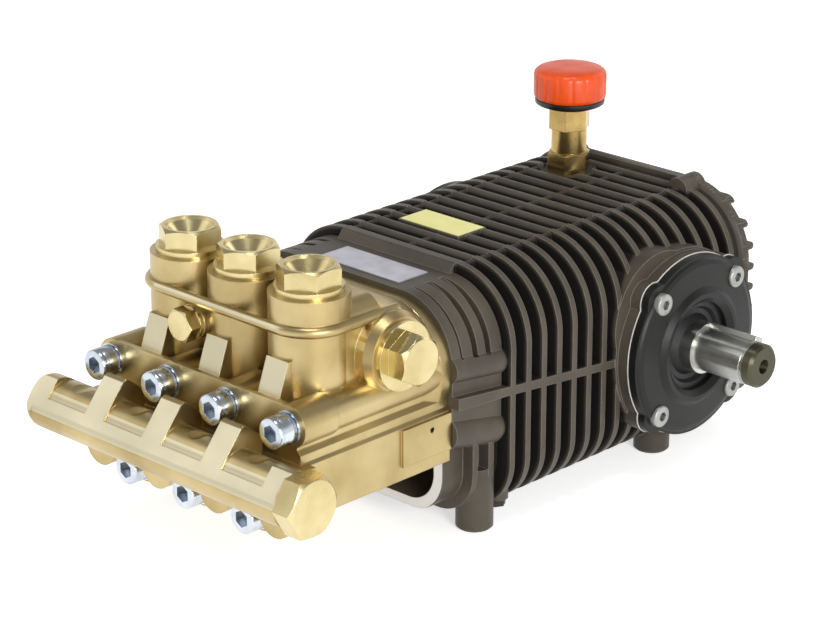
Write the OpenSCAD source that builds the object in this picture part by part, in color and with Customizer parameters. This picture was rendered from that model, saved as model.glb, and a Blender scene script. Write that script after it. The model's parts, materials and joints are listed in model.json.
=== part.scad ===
// Triplex plunger pump: finned crankcase, brass head with three valve columns, keyed drive shaft.
// Millimetres, +Z up, +X along the drive shaft, -Y towards the head.
// Origin: on the floor, at the centre of the four feet.

/* [Parts] */
// Node to draw, or all of them

/* [Crank case] */
// Half width of the fins
case_half_w = 100; // [80:0.5:130]
// Height of the fin tops
case_top = 171; // [150:1:220]
// Height of the lowest fin edge
case_bottom = 8; // [4:1:20]
// Front face, where the head sits
case_front = -125; // [-160:1:-100]
// Rear face, under the rear cover
case_rear = 160; // [140:1:200]
// Upper corner radius of the fins
case_r_top = 49; // [30:1:60]
// Lower corner radius of the fins
case_r_low = 36; // [15:1:45]
// Depth of the fins
fin_depth = 12; // [6:0.5:18]
// Thickness of one fin
fin_t = 4.5; // [3:0.25:7]
// Distance from fin to fin
fin_pitch = 15; // [12:0.5:20]
// Depth of the grooves in the flat top
top_groove = 4.5; // [2:0.25:10]
// Thickness of the round ribs on the flat top
top_rib_t = 8.5; // [4:0.5:12]
// Length of the smooth front band
band_l = 46; // [30:1:60]
// Step from the fins down to the front band
band_inset = 6; // [2:0.5:10]
// Radius of the upper side boss
boss_up_r = 9.5; // [6:0.5:13]
// Radius of the lower side boss
boss_low_r = 11.5; // [6:0.5:14]
// Half width of the drip chamber at the front
drip_half_w = 78; // [60:1:85]
// Height of its floor
drip_floor = 24; // [22:1:40]
// Depth of the drip chamber
drip_depth = 55; // [30:1:80]
// Corner radius of the drip chamber
drip_r = 22; // [10:1:30]
// Wall round the drip chamber
drip_wall = 7; // [4:0.5:12]
// Height of the shaft above the floor
shaft_z = 85; // [70:1:110]
// Distance of the shaft behind the centre of the feet
shaft_y = 92; // [70:1:110]
// Radius of the crank chamber
chamber_r = 44; // [40:1:48]
// Radius of a crosshead bore
crosshead_r = 20; // [16:0.5:24]

/* [Feet] */
// Distance between feet across the pump
feet_x = 164; // [120:1:200]
// Distance between feet along the pump
feet_y = 181; // [140:1:220]
// Foot diameter
foot_d = 25; // [20:0.5:34]
// Chamfer of a foot
foot_edge = 1.5; // [0.5:0.25:3]
// Tapped hole in a foot
foot_hole_d = 10.2; // [6:0.1:14]
// Depth of that hole
foot_hole_l = 18; // [12:1:30]
// Radius of the drain boss
drain_r = 8; // [6:0.5:12]
// Height of the drain boss
drain_z = 14; // [10:0.5:20]
// Thread radius of the drain plug
drain_bolt_r = 5; // [3:0.25:5.5]
// Thread length of the drain plug
drain_bolt_l = 10; // [6:0.5:16]

/* [Rear cover] */
// Thickness of the cover plate
rear_plate_t = 7; // [4:0.5:12]
// Height of its level ribs
rear_rib_h = 6; // [2:0.5:10]
// Half of a rib's width, and the rounding of its back
rear_rib_r = 2.5; // [1:0.25:4]

/* [Bearing covers] */
// Radius of the raised land on the side of the case
pad_r = 65; // [60:0.5:75]
// Height of the cover seat above the fins
pad_h = 9.4; // [4:0.1:15]
// Cover radius
cover_r = 63; // [55:0.5:70]
// Cover thickness
cover_t = 8; // [5:0.5:14]
// Gasket thickness
gasket_t = 0.6; // [0.3:0.1:1.5]
// Screw offset along the pump
cover_screw_y = 38.5; // [30:0.5:45]
// Screw offset in height
cover_screw_z = 40; // [30:0.5:45]
// Radius of a screw head
cover_screw_r = 7.5; // [5:0.25:10]
// Lobe radius round a cover screw
lobe_r = 13; // [9:0.5:16]
// Radius of the raised ring
hub_r = 38; // [34:0.5:45]
// Height of the raised ring
hub_h = 4.5; // [1:0.5:6]
// Radius of the seal recess
recess_r = 31; // [26:0.5:34]

/* [Shaft] */
// Shaft diameter
shaft_d = 30; // [20:0.5:34]
// Length of the shaft beyond the cover seat
shaft_out = 65; // [40:0.5:90]
// Diameter of the shoulder inside the seal
shoulder_d = 35; // [31:0.5:42]
// Length of the shoulder beyond the cover seat
shoulder_out = 16.6; // [10:0.1:25]
// Chamfer at the end of the shaft
shaft_edge = 2; // [0.5:0.25:3]
// Width of the groove in front of the key
groove_w = 1; // [0.5:0.1:1.5]
// Depth of that groove
groove_deep = 0.5; // [0.25:0.05:1]
// Length of a bearing
bearing_l = 15; // [10:0.5:20]
// Key width
key_w = 8; // [6:0.5:12]
// Key height
key_h = 7; // [5:0.5:10]
// Depth of the key in the shaft
key_deep = 4; // [3:0.25:6]
// Key length
key_l = 40; // [20:1:45]
// Distance from the key to the end of the shaft
key_gap = 10; // [2:0.5:12]
// Turn of the shaft from the position with the key on top, in degrees
key_turn = 25; // [-180:5:180]
// Radius of the tapped hole in the shaft end
end_hole_r = 5; // [2:0.25:6]
// Crank throw, half of the stroke
throw = 14; // [8:0.5:18]
// Crank pin radius
pin_r = 18; // [14:0.5:22]
// Width of a crank pin
pin_w = 28; // [16:1:40]

/* [Head] */
// Distance between plungers
pitch = 54; // [45:1:60]
// Plunger height
plunger_z = 87; // [80:1:95]
// Plunger radius
plunger_r = 11; // [8:0.5:13]
// Length of the plungers inside the head
plunger_out = 30; // [15:1:40]
// Length of the plungers inside the crosshead bores
plunger_in = 20; // [5:1:60]
// Column radius
column_r = 25.8; // [22:0.1:26.5]
// Column axis position
column_y = -210.4; // [-225:0.1:-200]
// Column top
column_top = 189; // [178:1:200]
// Distance from the outer bolts to the side of the lower body
body_side = 11; // [6:0.5:16]
// Top of the lower body
body_top = 125; // [118:1:132]
// Bottom of the lower body
body_bottom = 60; // [52:1:68]
// Front of the lower body, the seat of the bolts
body_front = -254; // [-265:0.5:-245]
// Height of the raised bead
bead_z = 169.8; // [160:0.1:180]
// Radius of the raised bead
bead_r = 3.6; // [2:0.1:5]
// Top of the valve block behind the columns
block_top = 180; // [172:1:186]
// Step from the fins in to the arched flange
flange_inset = 7; // [3:0.5:12]
// Step from the fins down to the top of the arched flange
flange_drop = 9; // [3:0.5:15]
// Corner radius of the arched flange
flange_r = 44; // [30:1:60]
// Thickness of the arched flange
flange_t = 8; // [5:0.5:14]
// Width of a wedge rib in front of a column
gusset_w = 19; // [10:0.5:26]

/* [Manifold] */
// Tube length beyond the side of the body
tube_over = 24; // [15:0.5:35]
// Tube radius
tube_r = 18; // [14:0.5:20]
// Rounding of the tube's open end
tube_edge = 7; // [2:0.5:8]
// Tube axis position
tube_y = -284; // [-292:0.5:-278]
// Tube axis height
tube_z = 91; // [85:0.5:98]
// Distance of the flat strip from the tube axis
strip_v = 12.8; // [11.5:0.1:16]
// Depth of the pockets between the webs
pocket_deep = 1.6; // [0.5:0.1:3]
// Web width
web_w = 18; // [10:0.5:24]
// Inlet bore radius
inlet_r = 9.5; // [6:0.25:11]
// Inlet bore depth
inlet_l = 30; // [15:1:40]

/* [Bolts and plugs] */
// Upper bolt height
bolt_up_z = 119; // [112:1:124]
// Lower bolt height
bolt_low_z = 55; // [50:1:62]
// Bolt head diameter
bolt_head_d = 20; // [14:0.5:22]
// Bolt head height
bolt_head_h = 14; // [8:0.5:18]
// Bolt shank diameter
bolt_d = 12; // [8:0.5:14]
// Shank length of an upper bolt, from its washer
upper_shank_l = 100; // [60:1:115]
// Shank length of a lower bolt, from its washer
lower_shank_l = 50; // [30:1:60]
// Hexagon socket of a bolt, across flats
bolt_hex = 10; // [6:0.5:12]
// Washer outer diameter
washer_d = 22; // [21:0.5:26]
// Washer thickness
washer_t = 2.5; // [1:0.25:4]
// Valve cap hexagon, across flats
cap_hex = 36; // [30:0.5:40]
// Height of a valve cap above its column
cap_h = 16.6; // [10:0.1:25]
// Cap collar radius
cap_collar_r = 22; // [21:0.25:25]
// Round recess in a valve cap
cap_bore_r = 14.5; // [8:0.25:16]
// Radius at the bottom of the cap's conical recess
cap_seat_r = 8; // [4:0.25:12]
// Manifold plug hexagon, across flats
plug_hex = 36; // [28:0.5:40]
// Outlet plug hexagon, across flats
outlet_hex = 30; // [22:0.5:38]
// Height of the outlet axis
outlet_z = 145; // [138:1:150]
// Position of the outlet axis
outlet_y = -170; // [-180:1:-165]
// Outlet bore radius
outlet_r = 12; // [8:0.25:14]
// Radius of the outlet boss
outlet_boss_r = 27; // [24:0.5:29]
// Small front plug, across flats
gauge_hex = 20; // [14:0.5:24]
// Height of the small front plug
gauge_z = 153; // [145:0.5:158]

/* [Oil filler] */
// Filler position across the pump
filler_x = -32; // [-45:0.5:45]
// Filler position along the pump
filler_y = 129; // [60:1:138]
// Filler cap diameter
filler_cap_d = 51; // [36:0.5:60]
// Filler cap height
filler_cap_h = 22.5; // [15:0.5:40]
// Height of the neck above the case
filler_neck_h = 45; // [35:0.5:60]
// Width across the flats of the neck's hexagons
neck_hex = 27; // [24:0.5:30]
// Height of a hexagon of the neck
neck_hex_h = 14; // [8:0.5:16]
// Radius of the neck between them
neck_r = 12.5; // [10:0.25:13]
// Radius of the neck's thread
neck_thread_r = 9; // [6:0.25:10]

/* [Plates] */
// Name plate length
plate_l = 73; // [40:1:90]
// Name plate width
plate_w = 27; // [15:1:32]
// Yellow label position across the pump
label_x = -36; // [-45:0.5:0]
// Yellow label length
label_l = 53; // [30:1:70]
// Yellow label width
label_w = 25; // [15:1:28]

/* [Hidden] */
$fn = 96;
fit = 0.05;
e = 0.01;
top_w = case_half_w - case_r_top;
band_end = case_front + band_l;
fin_y0 = band_end + 5;
n_fins = floor((case_rear - 5 - fin_y0) / fin_pitch) + 1;
band_top = case_top - band_inset;
low_half_w = drip_half_w + drip_wall + 1;
low_bottom = drip_floor - drip_wall + 1;
drip_y = case_front + drip_depth;
drain_y = -feet_y / 2 + 21;
rear_back = case_rear + rear_plate_t;
cover_seat = case_half_w + pad_h;
cover_in = cover_seat + gasket_t;
cover_out = cover_in + cover_t;
shaft_end = cover_seat + shaft_out;
shoulder_end = cover_seat + shoulder_out;
seal_in = cover_seat - 6;
bearing_in = seal_in - 0.4 - bearing_l;
rear_opening_w = bearing_in - 8;
key_x1 = shaft_end - key_gap;
key_x0 = key_x1 - key_l;
key_z0 = shaft_z + shaft_d / 2 - key_deep;
top_bolts = [-1.5 * pitch, -0.5 * pitch, 0.5 * pitch, 1.5 * pitch];
bolt_hole_d = bolt_d + 1;
boss_r = bolt_head_d / 2 + 3.5;
boss_back = body_front + 29;
room_front = body_front - 56;
plunger_front = case_front - plunger_out;
room_r = bolt_head_d / 2 + 4;
body_half_w = 1.5 * pitch + body_side;
block_half_w = pitch + column_r - 0.8;
flange_half_w = case_half_w - flange_inset;
flange_top = case_top - flange_drop;
tube_half_l = body_half_w + tube_over;
web_a = 50.6;
boss_out = block_half_w + 9;
plug_neck_r = 15;
cap_neck_r = 18;
tube_neck_r = 12;
seat_z = case_top - 2;

// Colours
brass = [0.76, 0.66, 0.40];
dark = [0.20, 0.19, 0.17];
zinc = [0.75, 0.77, 0.80];
steel = [0.60, 0.58, 0.54];

// Cylinder from x0 to x1 along X
module cyl_x(r, x0, x1, y, z) {
    translate([x0, y, z]) rotate([0, 90, 0]) cylinder(r = r, h = x1 - x0);
}

// Cylinder from y0 to y1 along Y
module cyl_y(r, y0, y1, x, z) {
    translate([x, y1, z]) rotate([90, 0, 0]) cylinder(r = r, h = y1 - y0);
}

// Box from corner to corner
module box(x0, x1, y0, y1, z0, z1) {
    translate([x0, y0, z0]) cube([x1 - x0, y1 - y0, z1 - z0]);
}

// A profile drawn in X and Z, made solid from y0 to y1
module along_y(y0, y1) {
    translate([0, y1, 0]) rotate([90, 0, 0]) linear_extrude(y1 - y0) children();
}

// A profile drawn in Y and Z, made solid from x0 to x1
module along_x(x0, x1) {
    translate([x0, 0, 0]) rotate([90, 0, 90]) linear_extrude(x1 - x0) children();
}

// Hexagon with its outer corners turned down
module hex_head(af, h, chamfer) {
    r = af / cos(30) / 2;
    intersection() {
        cylinder(r = r, h = h, $fn = 6);
        union() {
            cylinder(r = r + 1, h = h - chamfer);
            translate([0, 0, h - chamfer - e]) cylinder(r1 = r, r2 = af / 2 - 0.5, h = chamfer + e);
        }
    }
}

// Mirrors a side piece to the far side
module on_side(s) {
    if (s > 0) children();
    if (s < 0) mirror([1, 0, 0]) children();
}

// Outline of the case, drawn in by an inset, its upper corners moved in by a shift
module case_outline(inset, shift = 0) {
    cx = top_w - shift;
    cz = case_top - case_r_top;
    lx = case_half_w - case_r_low;
    lz = case_bottom + case_r_low;
    for (s = [-1, 1]) {
        translate([s * cx, cz]) circle(r = case_r_top - inset);
        translate([s * lx, lz]) circle(r = case_r_low - inset);
    }
    translate([-cx, cz]) square([2 * cx, case_r_top - inset]);
    translate([-lx, case_bottom + inset]) square([2 * lx, case_r_low]);
    translate([inset + shift - case_half_w, lz]) {
        square([2 * (case_half_w - inset - shift), cz - lz]);
    }
}

// Opening with round lower corners, used for the drip chamber and the wall round it
module drip_outline(w, low, r, high) {
    for (s = [-1, 1]) translate([s * (w - r), low + r]) circle(r = r);
    translate([r - w, low]) square([2 * (w - r), r]);
    translate([-w, low + r]) square([2 * w, high - low - r]);
}

// Round pad with four lobes, the seat of a bearing cover
module cover_outline(r, lr) {
    circle(r = r);
    for (sy = [-1, 1]) for (sz = [-1, 1]) {
        translate([sy * cover_screw_y, sz * cover_screw_z]) circle(r = lr);
    }
}

// Cooling fins round the case, low on the flat top where the round ribs run
module fins() {
    difference() {
        for (i = [0 : n_fins - 1]) {
            y = fin_y0 + i * fin_pitch;
            along_y(y - fin_t / 2, y + fin_t / 2) case_outline(0);
        }
        box(-top_w, top_w, band_end, case_rear, case_top - 1.2, case_top + 1);
    }
    for (i = [1 : n_fins - 1]) {
        y = fin_y0 + i * fin_pitch;
        cyl_x(top_rib_t / 2, -top_w, top_w, y, case_top - top_rib_t / 2);
    }
    // Wide first rib behind the plate land
    along_x(-top_w, top_w) {
        translate([fin_y0, case_top]) {
            polygon([[-9, -7], [-4.5, -0.8], [-2.5, 0], [3.5, 0], [6, -1.5], [6.5, -16], [-9, -16]]);
        }
    }
    // Low ribs that tie the round ribs together
    for (x = [-top_w, 0, top_w]) cyl_y(3, fin_y0, case_rear, x, case_top - top_groove);
    box(-top_w, top_w, fin_y0 - 6, case_rear, case_top - fin_depth - 1, case_top - top_groove);
}

// Smooth band at the front with bosses, grooves and an inclined rib on each side
module front_band() {
    along_y(case_front, band_end) intersection() {
        case_outline(band_inset);
        translate([-case_half_w, shaft_z - 12]) square([2 * case_half_w, case_top]);
    }
    along_y(case_front, band_end) drip_outline(low_half_w, low_bottom, drip_r + 4, band_top - 20);
    for (k = [1, 2]) {
        y = fin_y0 - k * fin_pitch;
        along_y(y - fin_t / 2, y + fin_t / 2) intersection() {
            case_outline(band_inset - 1);
            translate([-case_half_w, 0]) square([2 * case_half_w, shaft_z - 11]);
        }
    }
}

module corner_grooves() {
    for (g = [[8, 1.8], [19, 5], [31, 5]]) along_y(case_front + g[0], case_front + g[0] + g[1]) {
        difference() {
            case_outline(band_inset - 1.5);
            case_outline(band_inset, 8);
            translate([-case_half_w, 0]) square([2 * case_half_w, shaft_z + 38]);
            translate([-top_w, 0]) square([2 * top_w, case_top]);
        }
    }
}

// Boss along the side, sloping down to the rear with a round end
module side_boss(r, x, z, slope, l) {
    translate([x, case_front, z]) rotate([-90 - slope, 0, 0]) {
        translate([0, 0, -4]) cylinder(r = r, h = l + 4);
        translate([0, 0, l]) sphere(r = r);
    }
}

module side_bosses() {
    for (s = [-1, 1]) {
        side_boss(boss_up_r, s * (case_half_w - 11), shaft_z + 36, 7, band_l - 2);
        side_boss(boss_low_r, s * (case_half_w - 13), shaft_z - 7, 11, band_l - 4);
        // Inclined rib
        translate([s * (case_half_w - fin_depth / 2), 0, 0]) along_x(-fin_depth / 2, fin_depth / 2) {
            polygon([[case_front, shaft_z + 11], [case_front, shaft_z + 19], [band_end, shaft_z + 14],
                [shaft_y, shaft_z - 4], [shaft_y, shaft_z - 9], [band_end, shaft_z + 8]]);
        }
    }
}

// Foot bosses with tapped holes
module feet() {
    for (sx = [-1, 1]) for (sy = [-1, 1]) {
        translate([sx * feet_x / 2, sy * feet_y / 2, 0]) rotate_extrude() {
            polygon([[0, 0], [foot_d / 2 - foot_edge, 0], [foot_d / 2, foot_edge],
                [foot_d / 2, case_bottom + 36], [0, case_bottom + 36]]);
        }
    }
}

module foot_holes() {
    for (sx = [-1, 1]) for (sy = [-1, 1]) {
        translate([sx * feet_x / 2, sy * feet_y / 2, -e]) {
            cylinder(d = foot_hole_d, h = foot_hole_l + e);
        }
    }
}

// Round lugs at the upper rear corners
module rear_lugs(y0, y1) {
    for (s = [-1, 1]) cyl_y(9, y0, y1, s * (top_w + 2), case_top - 3);
}

module crankcase() {
    color(dark) difference() {
        union() {
            along_y(case_front + 40, case_rear) case_outline(fin_depth);
            front_band();
            fins();
            along_y(case_rear - 8, case_rear) case_outline(2);
            rear_lugs(case_rear - 14, case_rear);
            side_bosses();
            feet();
            for (s = [-1, 1]) on_side(s) {
                cyl_x(pad_r, case_half_w - 30, case_half_w + 0.8, shaft_y, shaft_z);
                cyl_x(pad_r - 19, case_half_w - 40, case_half_w + 0.8, shaft_y - 20, shaft_z + 22);
                along_x(case_half_w - 30, cover_seat) translate([shaft_y, shaft_z]) {
                    cover_outline(cover_r, lobe_r);
                }
            }
            // Seats of the oil filler and of the yellow label
            translate([filler_x, filler_y, case_top - 20]) cylinder(r = 20, h = 18);
            box(label_x - 1, label_x + label_l + 1, -39, -12, case_top - 10, case_top + 0.4);
            translate([feet_x / 2, drain_y, drain_z]) cylinder(r = drain_r, h = 20);
        }
        corner_grooves();
        foot_holes();
        box(-case_half_w - 9, case_half_w + 9, case_front - 20, case_front, 0, case_top);
        // Drip chamber, open below the head
        along_y(case_front - 1, drip_y) drip_outline(drip_half_w, drip_floor, drip_r, case_top - 22);
        // Crosshead bores
        for (i = [-1 : 1]) cyl_y(crosshead_r, drip_y - 1, shaft_y, i * pitch, plunger_z);
        // Crank chamber, open to the rear
        cyl_x(chamber_r, -bearing_in + 1, bearing_in - 1, shaft_y, shaft_z);
        box(-rear_opening_w, rear_opening_w, shaft_y, case_rear + 1, shaft_z - chamber_r,
            shaft_z + chamber_r);
        // Bearing seats
        cyl_x(recess_r, -cover_seat - 1, cover_seat + 1, shaft_y, shaft_z);
        // Room for the filler neck
        translate([filler_x, filler_y, shaft_z]) cylinder(r = neck_thread_r + fit, h = case_top);
        translate([filler_x, filler_y, seat_z]) cylinder(r = 18, h = 20);
        // Drain hole and the flat round it
        translate([feet_x / 2, drain_y, 0]) cylinder(r = drain_bolt_r + fit, h = drain_z + drain_bolt_l + 2);
        translate([feet_x / 2, drain_y, 0]) cylinder(r = drain_r, h = drain_z);
    }
}

module rear_cover() {
    color(dark) {
        along_y(case_rear, rear_back) case_outline(-2);
        rear_lugs(case_rear, rear_back);
        // Level ribs with round backs
        intersection() {
            along_y(rear_back - 1, rear_back + rear_rib_h) case_outline(-2);
            for (i = [-4 : 5]) {
                z = shaft_z + 3.1 + i * fin_pitch;
                w = case_half_w + 5;
                box(-w, w, rear_back - 1, rear_back + rear_rib_h - rear_rib_r, z - rear_rib_r, z + rear_rib_r);
                cyl_x(rear_rib_r, -w, w, rear_back + rear_rib_h - rear_rib_r, z);
            }
        }
    }
}

// Points of the rear cover screws
rear_x = case_half_w - 16;
rear_pts = [[-rear_x, 51], [rear_x, 51], [-rear_x, 110], [rear_x, 110], [-40, 21], [40, 21],
    [-40, case_top - 16], [40, case_top - 16]];

module rear_cover_screws() {
    color(zinc) for (p = rear_pts) {
        translate([p[0], rear_back + rear_rib_h + 5, p[1]]) rotate([90, 0, 0]) {
            difference() {
                cylinder(r = 6, h = 5);
                translate([0, 0, -e]) cylinder(r = 3.2, h = 3, $fn = 6);
            }
        }
    }
}

module gasket(s) {
    color([0.75, 0.74, 0.70]) on_side(s) along_x(cover_seat, cover_in) {
        translate([shaft_y, shaft_z]) difference() {
            cover_outline(cover_r + 0.6, lobe_r + 0.6);
            circle(r = recess_r);
        }
    }
}

module bearing_gasket() {
    gasket(1);
}

module end_gasket() {
    gasket(-1);
}

// Cover shared by both sides: dished round body, raised ring, four lobes and seats for the screws
module cover_body() {
    difference() {
        cover_blank();
        for (sy = [-1, 1]) for (sz = [-1, 1]) {
            cyl_x(cover_screw_r + fit, cover_out - 2 - fit, cover_out + 10,
                shaft_y + sy * cover_screw_y, shaft_z + sz * cover_screw_z);
        }
    }
}

module cover_blank() {
    t = cover_t;
    along_x(cover_in, cover_in + t - 2) translate([shaft_y, shaft_z]) cover_outline(cover_r, lobe_r);
    translate([cover_in, shaft_y, shaft_z]) rotate([0, 90, 0]) rotate_extrude() {
        polygon([[0, 1], [cover_r - 1, 1], [cover_r - 1, t - 2.5], [cover_r - 3, t - 0.5],
            [cover_r - 6, t + 0.5], [hub_r + 4, t + 1.5], [hub_r, t + hub_h], [hub_r - 3, t + hub_h],
            [recess_r, t + 1], [0, t + 1]]);
    }
}

module bearing_cover() {
    color(dark) difference() {
        cover_body();
        cyl_x(recess_r, cover_seat - 1, cover_seat + 30, shaft_y, shaft_z);
    }
}

module end_cover() {
    color(dark) mirror([1, 0, 0]) cover_body();
}

module cover_screws(s) {
    x1 = cover_out + 0.5;
    color(zinc) on_side(s) for (sy = [-1, 1]) for (sz = [-1, 1]) {
        translate([x1, shaft_y + sy * cover_screw_y, shaft_z + sz * cover_screw_z]) {
            rotate([0, 90, 0]) difference() {
                union() {
                    translate([0, 0, -2.5]) cylinder(r = cover_screw_r, h = 5.5);
                    translate([0, 0, 3 - e]) {
                        cylinder(r1 = cover_screw_r, r2 = cover_screw_r - 2, h = 2);
                    }
                }
                translate([0, 0, 2]) cylinder(r = 3.2, h = 5, $fn = 6);
            }
        }
    }
}

module bearing_cover_screws() {
    cover_screws(1);
}

module end_cover_screws() {
    cover_screws(-1);
}

module shaft_seal() {
    color([0.05, 0.05, 0.05]) translate([seal_in, shaft_y, shaft_z]) rotate([0, 90, 0]) {
        rotate_extrude() polygon([[shoulder_d / 2 + fit, 0], [recess_r - fit, 0], [recess_r - fit, 12],
            [recess_r - 4, 12], [recess_r - 6, 9], [shoulder_d / 2 + 4, 9],
            [shoulder_d / 2 + fit, 13]]);
    }
}

module shaft_bearings() {
    color(steel) for (s = [-1, 1]) on_side(s) difference() {
        cyl_x(recess_r - fit, bearing_in, bearing_in + bearing_l, shaft_y, shaft_z);
        cyl_x(shoulder_d / 2 + fit, bearing_in - 1, bearing_in + bearing_l + 1, shaft_y, shaft_z);
    }
}

// Turns a child about the shaft's axis
module turned() {
    translate([0, shaft_y, shaft_z]) rotate([-key_turn, 0, 0]) translate([0, -shaft_y, -shaft_z]) children();
}

module crankshaft() {
    color(steel) turned() difference() {
        union() {
            cyl_x(shoulder_d / 2, -cover_seat + 2, shoulder_end, shaft_y, shaft_z);
            // Turned so that the seam of the round face lies away from the keyway
            translate([shoulder_end - e, shaft_y, shaft_z]) rotate([112.5, 0, 0]) rotate([0, 90, 0]) {
                l = shaft_out - shoulder_out + e;
                r = shaft_d / 2;
                // Relief groove at the end of the keyway, and the plain land in front of it
                g = l - key_gap - 0.2;
                rotate_extrude() polygon([[0, 0], [r, 0], [r, g], [r - groove_deep, g],
                    [r - groove_deep, g + groove_w], [r, g + groove_w], [r, l - shaft_edge],
                    [r - shaft_edge, l], [0, l]]);
            }
            for (i = [-1 : 1]) {
                a = 120 * i;
                cyl_x(pin_r, i * pitch - pin_w / 2, i * pitch + pin_w / 2,
                    shaft_y + throw * cos(a), shaft_z + throw * sin(a));
            }
        }
        cyl_x(end_hole_r, shaft_end - 20, shaft_end + 1, shaft_y, shaft_z);
        box(key_x0 - fit, key_x1 + fit, shaft_y - key_w / 2 - fit, shaft_y + key_w / 2 + fit,
            key_z0, key_z0 + shaft_d);
    }
}

module shaft_key() {
    color(steel) turned() {
        box(key_x0, key_x1, shaft_y - key_w / 2, shaft_y + key_w / 2, key_z0, key_z0 + key_h);
    }
}

// Arched outline of the head flange
module flange_outline(r) {
    cx = flange_half_w - r;
    for (s = [-1, 1]) translate([s * cx, flange_top - r]) circle(r = r);
    translate([-cx, flange_top - r]) square([2 * cx, r]);
    translate([-flange_half_w, body_top - 10]) {
        square([2 * flange_half_w, flange_top - r - body_top + 10]);
    }
}

// Lower body seen from the front, with two ledges along each side
module body_outline() {
    w = body_half_w;
    b = body_bottom;
    t = body_top;
    polygon([[-w, b], [w, b], [w, b + 35], [w - 2, b + 37], [w - 2, b + 42], [w - 5, b + 45],
        [w - 6, t - 4], [w - 9, t], [9 - w, t], [6 - w, t - 4], [5 - w, b + 45], [2 - w, b + 42],
        [2 - w, b + 37], [-w, b + 35]]);
}

// Bead round the valve block: straight across the front, bent round the outer columns
module bead() {
    cyl_x(bead_r, -pitch, pitch, column_y - column_r, bead_z);
    for (s = [0, 1]) {
        translate([(2 * s - 1) * pitch, column_y, bead_z]) rotate([0, 0, 180 + 90 * s]) {
            rotate_extrude(angle = 90) translate([column_r, 0]) circle(r = bead_r);
        }
        cyl_y(bead_r, column_y, column_y + 50, (2 * s - 1) * (pitch + column_r), bead_z);
    }
}

// Wedge rib in front of a column
module gusset() {
    along_x(-gusset_w / 2, gusset_w / 2) translate([body_front, body_top]) {
        polygon([[-column_y + body_front + 87, -2], [7, -2], [8, 4], [16, 26],
            [-column_y + body_front + 87, 26]]);
    }
}

// Section of the tube, round below and flat towards the webs, its lower edge rounded
module tube_section() {
    r = tube_r / 2;
    py = strip_v - r;
    px = -sqrt((tube_r - r) * (tube_r - r) - py * py);
    translate([tube_y, tube_z]) rotate(web_a) difference() {
        circle(r = tube_r);
        translate([-40, strip_v]) square([80, 30]);
        difference() {
            polygon([[px, py], [px, 40], [-40, 40], [-40, py - 40 * py / px]]);
            translate([px, py]) circle(r = r);
        }
    }
}

// Flat-faced web from the tube up to the bolts
module web() {
    along_x(-web_w / 2, web_w / 2) translate([tube_y, tube_z]) rotate(web_a) {
        polygon([[-4, 0], [-4, strip_v], [26, strip_v], [28.5, strip_v - 1.2], [29.5, strip_v - 4],
            [29.5, -8], [10, -20]]);
    }
}

// Pocket between two webs, down to the round back of the tube
module pocket(x0, x1) {
    along_x(x0, x1) translate([tube_y, tube_z]) rotate(web_a) difference() {
        translate([-0.9, 0]) square([22, strip_v + 8]);
        translate([3.5, -2.5]) circle(r = strip_v + 3.2 - pocket_deep);
    }
}

// Blend from the arched flange into the valve block
module shoulder() {
    hull() {
        $fn = 32;
        along_y(case_front - flange_t - 0.5, case_front - flange_t) flange_outline(flange_r);
        along_y(column_y + 37, column_y + 38) {
            for (s = [-1, 1]) {
                translate([s * (block_half_w - 14), block_top - 14]) circle(r = 14);
            }
            translate([-block_half_w, body_top - 10]) square([2 * block_half_w, 20]);
        }
    }
}

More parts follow.
